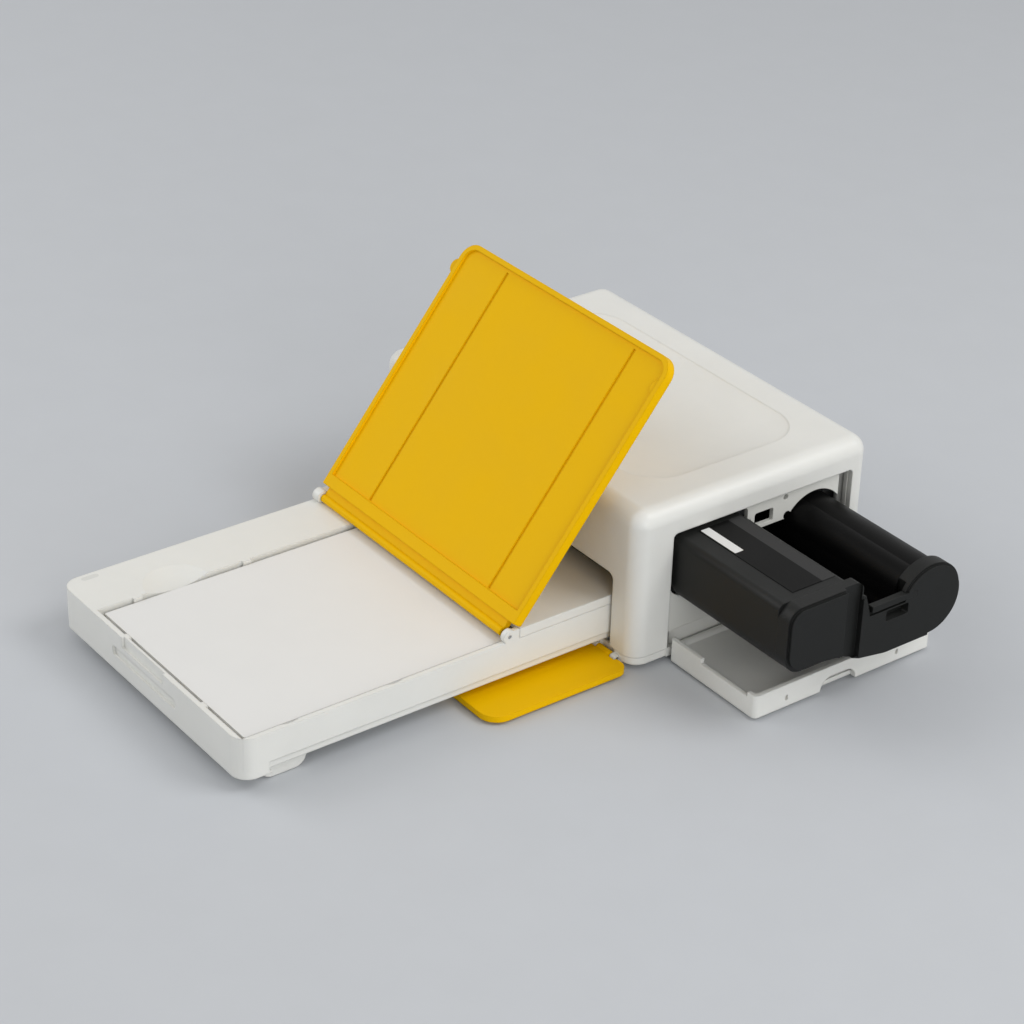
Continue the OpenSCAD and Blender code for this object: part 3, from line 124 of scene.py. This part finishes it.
def add_floor():
    mesh = bpy.data.meshes.new("floor")
    corners = [(-1, -1), (1, -1), (1, 1), (-1, 1)]
    mesh.from_pydata([(FLOOR_HALF * x, FLOOR_HALF * y, 0) for x, y in corners], [], [(0, 1, 2, 3)])
    floor = bpy.data.objects.new("floor", mesh)
    floor.location.z = -FLOOR_DROP
    bpy.context.scene.collection.objects.link(floor)
    floor.data.materials.append(
        surface("floor_paint", srgb(200, 203, 207), 0.8, grain=0.0, blotch=0.01, gloss=0.2, edge_mm=0)
    )


# ---------- Materials ----------

# Noise in all materials: its scale per metre, and how deep its bumps are.
CLOUD_SCALE = 38.0
PEEL_SCALE = 420.0
PEEL_DEPTH = 0.2 * MM
GRAIN_DEPTH = 0.12 * MM
ROUGH_SPREAD = 0.06

# Bumps of a pattern.
PATTERN_STRENGTH = 0.5
PATTERN_DEPTH = 0.1 * MM

# Edges: how far the softened normal agrees with the flat one on an edge and on a plain face, and the
# amount of lightening (worn edges plus a painted edge highlight) that gives the full tint.
BEVEL_SAMPLES = 4
ON_EDGE, ON_FACE = 0.75, 0.98
FULL_WEAR_AND_HIGHLIGHT = 0.7

COAT_ROUGHNESS = 0.15
SCATTER_RADIUS = (0.9, 0.8, 0.6)


class Nodes:
    """Short hand for building a node tree."""

    def __init__(self, tree):
        self.tree = tree

    def add(self, kind, links=(), **values):
        """New node; values go to the sockets or properties of their names, links to its inputs."""
        node = self.tree.nodes.new("ShaderNode" + kind)
        for name, value in values.items():
            if name.replace("_", " ") in node.inputs:
                node.inputs[name.replace("_", " ")].default_value = value
            else:
                setattr(node, name, value)
        for name, source in dict(links).items():
            self.tree.links.new(source, node.inputs[name])
        return node

    def math(self, operation, first, second=None):
        """Result of an operation on a source and, if given, a number or a second source."""
        node = self.add("Math", {0: first}, operation=operation)
        if isinstance(second, float):
            node.inputs[1].default_value = second
        elif second:
            self.tree.links.new(second, node.inputs[1])
        return node.outputs[0]

    def shade(self, paint, factor):
        """The paint multiplied by a factor."""
        return self.add("VectorMath", {0: paint, "Scale": factor}, operation="SCALE").outputs[0]

    def spread(self, source, low, high, start=0.3, end=0.7):
        """A value that runs from low to high as the source runs from start to end."""
        return self.add(
            "MapRange", {"Value": source}, From_Min=start, From_Max=end, To_Min=low, To_Max=high
        ).outputs["Result"]


def surface(
    name,
    color,
    rough,
    grain=0.25,
    grain_mm=0.35,
    peel=0.0,
    blotch=0.02,
    metal=0.0,
    edge_mm=0.35,
    edge_wear_and_highlight_tint=1.0,
    gloss=0.5,
    coat=0.0,
    sheen=0.0,
    scatter=0.0,
    stretch=(1, 1, 1),
    pattern=None,
):
    """Moulded, ground or painted surface.

    Fine grain and a slow unevenness come from noise in the object's own coordinates. Edges are
    softened over edge_mm, and multiplied by the edge tint in uneven patches: worn edges plus a painted
    highlight.
    pattern(n, place, paint) returns a new colour, and a height or None.
    """
    material = bpy.data.materials.new(name)
    material.use_nodes = True
    material.diffuse_color = (*color, 1)
    tree = material.node_tree
    tree.nodes.clear()
    n = Nodes(tree)
    place = n.add("TexCoord").outputs["Object"]
    scaled = n.add("Mapping", {"Vector": place}, Scale=stretch).outputs["Vector"]

    def noise(scale, detail, roughness):
        node = n.add("TexNoise", {"Vector": scaled}, Scale=scale, Detail=detail, Roughness=roughness)
        return node.outputs["Fac"]

    cloud = noise(CLOUD_SCALE, 5.0, 0.6)
    mottled = n.add("VectorMath", {"Scale": n.spread(cloud, 1 - blotch, 1 + blotch)}, operation="SCALE")
    mottled.inputs[0].default_value = color
    paint = mottled.outputs[0]
    height = None
    if pattern:
        paint, height = pattern(n, place, paint)
    normal = None
    if edge_mm:
        bevel = n.add("Bevel", Radius=edge_mm * MM)
        bevel.samples = BEVEL_SAMPLES
        normal = bevel.outputs["Normal"]
        # Edges lightened in uneven patches by the edge tint: worn edges plus a painted edge highlight.
        if edge_wear_and_highlight_tint != 1.0:
            flat = n.add("NewGeometry").outputs["Normal"]
            along = n.add("VectorMath", {0: normal, 1: flat}, operation="DOT_PRODUCT").outputs["Value"]
            wear_and_highlight = n.math("MULTIPLY", n.spread(along, 1.0, 0.0, ON_EDGE, ON_FACE), cloud)
            paint = n.shade(paint, n.spread(wear_and_highlight, 1.0, edge_wear_and_highlight_tint, 0.0, FULL_WEAR_AND_HIGHLIGHT))
    matt = n.spread(cloud, rough - ROUGH_SPREAD, rough + ROUGH_SPREAD)
    shader = n.add("BsdfPrincipled", {"Base Color": paint, "Roughness": matt}, Metallic=metal)
    shader.inputs["Specular IOR Level"].default_value = gloss
    shader.inputs["Coat Weight"].default_value = coat
    shader.inputs["Coat Roughness"].default_value = COAT_ROUGHNESS
    shader.inputs["Sheen Weight"].default_value = sheen
    if scatter:
        shader.inputs["Subsurface Weight"].default_value = scatter
        shader.inputs["Subsurface Radius"].default_value = SCATTER_RADIUS
        shader.inputs["Subsurface Scale"].default_value = MM
    bumps = []
    if peel:
        bumps.append((noise(PEEL_SCALE, 1.0, 0.4), peel, PEEL_DEPTH))
    if grain:
        bumps.append((noise(1000 / grain_mm, 3.0, 0.55), grain, GRAIN_DEPTH))
    if height:
        bumps.append((height, PATTERN_STRENGTH, PATTERN_DEPTH))
    for source, strength, distance in bumps:
        bump = n.add("Bump", {"Height": source}, Strength=strength, Distance=distance)
        if normal:
            tree.links.new(normal, bump.inputs["Normal"])
        normal = bump.outputs["Normal"]
    if normal:
        tree.links.new(normal, shader.inputs["Normal"])
    output = n.add("OutputMaterial")
    tree.links.new(shader.outputs[0], output.inputs["Surface"])
    return material


def srgb(*values):
    """Linear colour from 8-bit sRGB values."""
    return tuple((v / 255 / 12.92) if v <= 10 else ((v / 255 + 0.055) / 1.055) ** 2.4 for v in values)


# Width, length and spacing of the board's tracks, and how much lighter they are.
TRACK_WIDTH, TRACK_LENGTH, TRACK_PITCH = 0.22 * MM, 6.5 * MM, 1.4 * MM
TRACK_SHADE = 1.75


def tracks(n, place, paint):
    """Copper tracks under the solder mask of a circuit board."""
    brick = n.add("TexBrick", {"Vector": place}, Scale=1.0, Mortar_Size=TRACK_WIDTH, Mortar_Smooth=0.1)
    brick.inputs["Brick Width"].default_value = TRACK_LENGTH
    brick.inputs["Row Height"].default_value = TRACK_PITCH
    fac = brick.outputs["Fac"]
    return n.shade(paint, n.spread(fac, 1.0, TRACK_SHADE, 0.0, 1.0)), fac


PANEL_PITCH = 5.3 * MM
PANEL_DARK, PANEL_LIGHT = 0.75, 1.4


def panels(n, place, paint):
    """Dye panels of the ribbon, seen as darker and lighter bands."""
    y = n.add("SeparateXYZ", {"Vector": place}).outputs["Y"]
    wave = n.math("SINE", n.math("MULTIPLY", y, 2 * math.pi / PANEL_PITCH))
    return n.shade(paint, n.spread(wave, PANEL_DARK, PANEL_LIGHT, -1.0, 1.0)), None


# Where the painted highlight strip on the label begins, half the width of that border, and how much
# lighter it is.
HIGHLIGHT_STRIP_Y = 0.0680
HIGHLIGHT_STRIP_BORDER = 0.1 * MM
HIGHLIGHT_STRIP_GAIN = 13.0


def label_print_and_highlight(n, place, paint):
    """Dark printed field, with a painted highlight strip down one long side of the label."""
    y = n.add("SeparateXYZ", {"Vector": place}).outputs["Y"]
    factor = n.spread(y, 1.0, HIGHLIGHT_STRIP_GAIN, HIGHLIGHT_STRIP_Y - HIGHLIGHT_STRIP_BORDER, HIGHLIGHT_STRIP_Y + HIGHLIGHT_STRIP_BORDER)
    return n.shade(paint, factor), None


# Middle and half the straight length of the mark along each axis, and its corner radius.
MARK = {"X": (-0.0921, 0.0), "Y": (-0.13075, 0.0023), "Z": (0.0236, 0.0)}
MARK_RADIUS = 1.45 * MM
# Its painted shade (the hollow drawn darker), and how far inside its outline that shade and the depth
# are reached.
MARK_PAINTED_SHADE = 0.88
MARK_PAINTED_SHADE_EDGE = 0.15 * MM
MARK_DEPTH_EDGE = 0.35 * MM


def sunk_mark(n, place, paint):
    """Shallow plain oval moulded into the tray's top at its front left corner, drawn darker inside as
    painted shade.
    """
    axes = n.add("SeparateXYZ", {"Vector": place}).outputs

    def off(axis, middle, straight):
        """How far a point lies beyond the straight length along one axis."""
        size = n.math("ABSOLUTE", n.math("SUBTRACT", axes[axis], middle))
        return n.math("MAXIMUM", n.math("SUBTRACT", size, straight), 0.0)

    far = n.add("CombineXYZ", {i: off(axis, *MARK[axis]) for i, axis in enumerate("XYZ")})
    length = n.add("VectorMath", {0: far.outputs[0]}, operation="LENGTH").outputs["Value"]
    paint = n.shade(paint, n.spread(length, MARK_PAINTED_SHADE, 1.0, MARK_RADIUS - MARK_PAINTED_SHADE_EDGE, MARK_RADIUS))
    return paint, n.spread(length, 0.0, 1.0, MARK_RADIUS - MARK_DEPTH_EDGE, MARK_RADIUS)


SHELL = dict(
    color=srgb(229, 229, 224), rough=0.34, grain=0.12, grain_mm=0.25, peel=0.05, scatter=0.04,
    edge_mm=0.8, edge_wear_and_highlight_tint=1.03,
)
WHITE = surface("white_shell", **SHELL)
WHITE_INNER = surface("white_inner", srgb(222, 222, 216), 0.5, grain=0.2)
TRAY_WHITE = surface("white_tray", **SHELL, pattern=sunk_mark)
YELLOW = surface(
    "yellow_shell", srgb(242, 189, 2), 0.42, grain=0.12, grain_mm=0.25, peel=0.05, blotch=0.015,
    gloss=0.05, scatter=0.03, edge_mm=0.6, edge_wear_and_highlight_tint=1.06,
)
BLACK = surface(
    "black_moulded", srgb(22, 23, 22), 0.5, grain=0.45, grain_mm=0.22, blotch=0.1, gloss=0.22,
    edge_wear_and_highlight_tint=1.9,
)
DRUM = surface(
    "black_tube", srgb(12, 12, 12), 0.4, grain=0.25, grain_mm=0.22, blotch=0.1, gloss=0.07,
    edge_wear_and_highlight_tint=1.6,
)
BLACK_SMOOTH = surface(
    "black_smooth", srgb(22, 22, 22), 0.3, grain=0.2, grain_mm=0.4, blotch=0.08, gloss=0.3
)
FILM = surface(
    "film", srgb(24, 20, 30), 0.16, grain=0.1, grain_mm=3, blotch=0.1, coat=0.5, edge_mm=0,
    pattern=panels,
)
STEEL = surface(
    "zinc_steel", srgb(178, 180, 182), 0.34, grain=0.2, grain_mm=0.5, blotch=0.05, metal=1.0,
    stretch=(0.15, 1, 1),
)
SHAFT = surface(
    "ground_steel", srgb(196, 197, 198), 0.22, grain=0.15, grain_mm=0.3, metal=1.0, stretch=(6, 1, 1)
)
ALUMINIUM = surface(
    "extruded_aluminium", srgb(190, 192, 195), 0.38, grain=0.3, grain_mm=0.4, metal=1.0,
    stretch=(0.1, 1, 1),
)
SPRING = surface("spring_wire", srgb(150, 152, 156), 0.28, grain=0.1, metal=1.0, edge_mm=0)
RUBBER = surface(
    "black_rubber", srgb(34, 34, 35), 0.8, grain=0.5, grain_mm=0.25, blotch=0.12, sheen=0.1, gloss=0.3
)
CORK = surface("brown_rubber", srgb(120, 92, 66), 0.85, grain=0.8, grain_mm=0.6, blotch=0.25)
NYLON = surface("nylon", srgb(226, 222, 208), 0.4, grain=0.1, scatter=0.15)
CERAMIC = surface("glazed_ceramic", srgb(216, 210, 196), 0.2, grain=0.05, coat=0.6)
BOARD = surface(
    "solder_mask", srgb(16, 78, 44), 0.3, grain=0.3, grain_mm=1.2, blotch=0.12, coat=0.4, edge_mm=0,
    pattern=tracks,
)
CHIP = surface("chip_epoxy", srgb(32, 32, 34), 0.55, grain=0.4, grain_mm=0.2)
PAPER = surface(
    "photo_paper", srgb(230, 230, 228), 0.42, grain=0.05, grain_mm=0.6, blotch=0.01, edge_mm=0
)
LABEL = surface(
    "label_film", srgb(10, 10, 10), 0.34, grain=0.12, grain_mm=0.5, blotch=0.05, gloss=0.08,
    edge_mm=0, pattern=label_print_and_highlight,
)
INK = surface(
    "white_print", srgb(232, 232, 230), 0.4, grain=0.1, grain_mm=0.4, blotch=0.03, edge_mm=0
)
LIGHT_GUIDE = surface("clear_guide", srgb(225, 232, 232), 0.12, grain=0, coat=0.5, scatter=0.3)

BY_MATERIAL = {
    WHITE: "housing bottom_cover side_door power_button tray_feet tray_rear_cover",
    TRAY_WHITE: "tray_base",
    WHITE_INNER: "bay_wall",
    YELLOW: "front_door tray_lid",
    BLACK: "cartridge_supply_housing cartridge_end_cap cartridge_inner_end cartridge_latch",
    DRUM: "cartridge_take_up_housing",
    BLACK_SMOOTH: "power_inlet door_switch",
    FILM: "supply_spool take_up_spool ribbon_film",
    STEEL: "left_side_plate right_side_plate cross_plate plate_screws head_arm usb_port retaining_clips "
    "case_screws tray_lift_plate drive_motor",
    SHAFT: "head_pivot_shaft feed_roller front_door_pins side_door_pins tray_lid_pins",
    ALUMINIUM: "head_heat_sink",
    SPRING: "button_spring head_springs lift_spring",
    RUBBER: "rubber_feet platen_roller pinch_roller pickup_roller",
    CORK: "separation_pad",
    NYLON: "platen_gear feed_gear pickup_gear shaft_bushings motor_pinion main_idler_gear "
    "pickup_idler_gear ribbon_idler_gear take_up_drive supply_drive",
    CERAMIC: "print_head",
    BOARD: "main_board",
    CHIP: "board_components",
    PAPER: "paper_stack",
    LABEL: "cartridge_label",
    LIGHT_GUIDE: "status_light_pipe",
}


def dress_nodes():
    """Gives each node of the model its material."""
    given = set()
    for material, names in BY_MATERIAL.items():
        for name in names.split():
            node = nodes[name]
            node.data.materials.clear()
            node.data.materials.append(material)
            given.add(name)
    missing = set(nodes) - given
    if missing:
        raise SystemExit(f"no material for {sorted(missing)}")


# ---------- Small pieces ----------


def corner_ring(build, x0, x1, y0, y1, z, radius, steps):
    """Vertices of a rectangle with rounded corners."""
    ring = []
    for cx, cy, start in (
        (x1 - radius, y1 - radius, 0),
        (x0 + radius, y1 - radius, 90),
        (x0 + radius, y0 + radius, 180),
        (x1 - radius, y0 + radius, 270),
    ):
        for i in range(steps + 1):
            a = math.radians(start + 90 * i / steps)
            ring.append(build.verts.new((cx + radius * math.cos(a), cy + radius * math.sin(a), z)))
    return ring


def add_slab(build, x0, x1, y0, y1, z0, z1, radius, steps):
    """Closed flat slab with rounded corners."""
    under, over = (corner_ring(build, x0, x1, y0, y1, z, radius, steps) for z in (z0, z1))
    count = len(under)
    for i in range(count):
        build.faces.new((under[i], under[(i + 1) % count], over[(i + 1) % count], over[i]))
    build.faces.new(over)
    build.faces.new(list(reversed(under)))


def new_piece(name, build, material):
    """Object with the finished mesh and one material."""
    mesh = bpy.data.meshes.new(name)
    build.to_mesh(mesh)
    build.free()
    mesh.materials.append(material)
    piece = bpy.data.objects.new(name, mesh)
    bpy.context.scene.collection.objects.link(piece)
    return piece


SHEETS = 34
SHEET_SEED = 11
SHEET_SHIFT_MM = 0.12
SHEET_SHARE = 0.88  # part of the space between two sheets that the paper fills
SHEET_RADIUS = 0.6 * MM
SHEET_STEPS = 3
# Space between the block and the sheets.
STACK_LEFT, STACK_RIGHT, STACK_FRONT, STACK_BACK, STACK_TOP = (
    a * MM for a in (0.75, 0.6, 0.95, 0.2, 0.5)
)


def add_paper():
    """Stack of single sheets, each a little out of line, in place of the plain block."""
    low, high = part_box("paper_stack")
    pitch = (high[2] - low[2] - STACK_TOP) / SHEETS
    shuffle = random.Random(SHEET_SEED)
    build = bmesh.new()
    for i in range(SHEETS):
        dx, dy = (shuffle.uniform(-SHEET_SHIFT_MM, SHEET_SHIFT_MM) * MM for _ in range(2))
        z = low[2] + i * pitch
        add_slab(
            build,
            low[0] + STACK_LEFT + dx,
            high[0] - STACK_RIGHT + dx,
            low[1] + STACK_FRONT + dy,
            high[1] - STACK_BACK + dy,
            z,
            z + SHEET_SHARE * pitch,
            SHEET_RADIUS,
            SHEET_STEPS,
        )
    piece = new_piece("paper_sheets", build, PAPER)
    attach(piece, "tray")
    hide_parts("paper_stack")


# Sides of the label's bar, from the label's low corner.
BAR_X = (0.5 * MM, 20.8 * MM)
BAR_Y = (0.6 * MM, 4.8 * MM)
BAR_THICK = 0.05 * MM
BAR_RADIUS = 0.3 * MM
BAR_STEPS = 6


def add_label_bar(body):
    """Blank white bar printed on the cartridge's label."""
    low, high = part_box("cartridge_label")
    build = bmesh.new()
    x0, x1 = (low[0] + a for a in BAR_X)
    y0, y1 = (low[1] + a for a in BAR_Y)
    add_slab(build, x0, x1, y0, y1, high[2], high[2] + BAR_THICK, BAR_RADIUS, BAR_STEPS)
    piece = new_piece("label_bar", build, INK)
    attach(piece, body)


def add_springs():
    """Copies of the button and lift springs, each carried by its body, in place of the model's own
    springs.
    """
    for name, body, joint, keep in (
        ("button_spring", "printer", "power_button_press", 0.78),
        ("lift_spring", "tray", "lift_plate_hinge", 0.4),
    ):
        piece = bpy.data.objects.new(name + "_coil", nodes[name].data.copy())
        bpy.context.scene.collection.objects.link(piece)
        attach(piece, body)
        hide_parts(name)
        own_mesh(piece)


dress_nodes()
add_paper()
add_label_bar("cartridge")
add_springs()
add_camera()
add_world(SKY_STRENGTH)
add_lamp("key", place=(0.95, 0.75, 1.35), target=(0, 0, 0.03), size=0.9, power=10.5)
add_lamp("fill", place=(-1.1, -0.9, 0.9), target=(0, 0, 0.03), size=1.2, power=9)
add_lamp("side", place=(1.7, -0.35, 0.6), target=(0, 0, 0.05), size=1.0, power=9)
add_floor()
bpy.context.scene.view_settings.view_transform = "Standard"
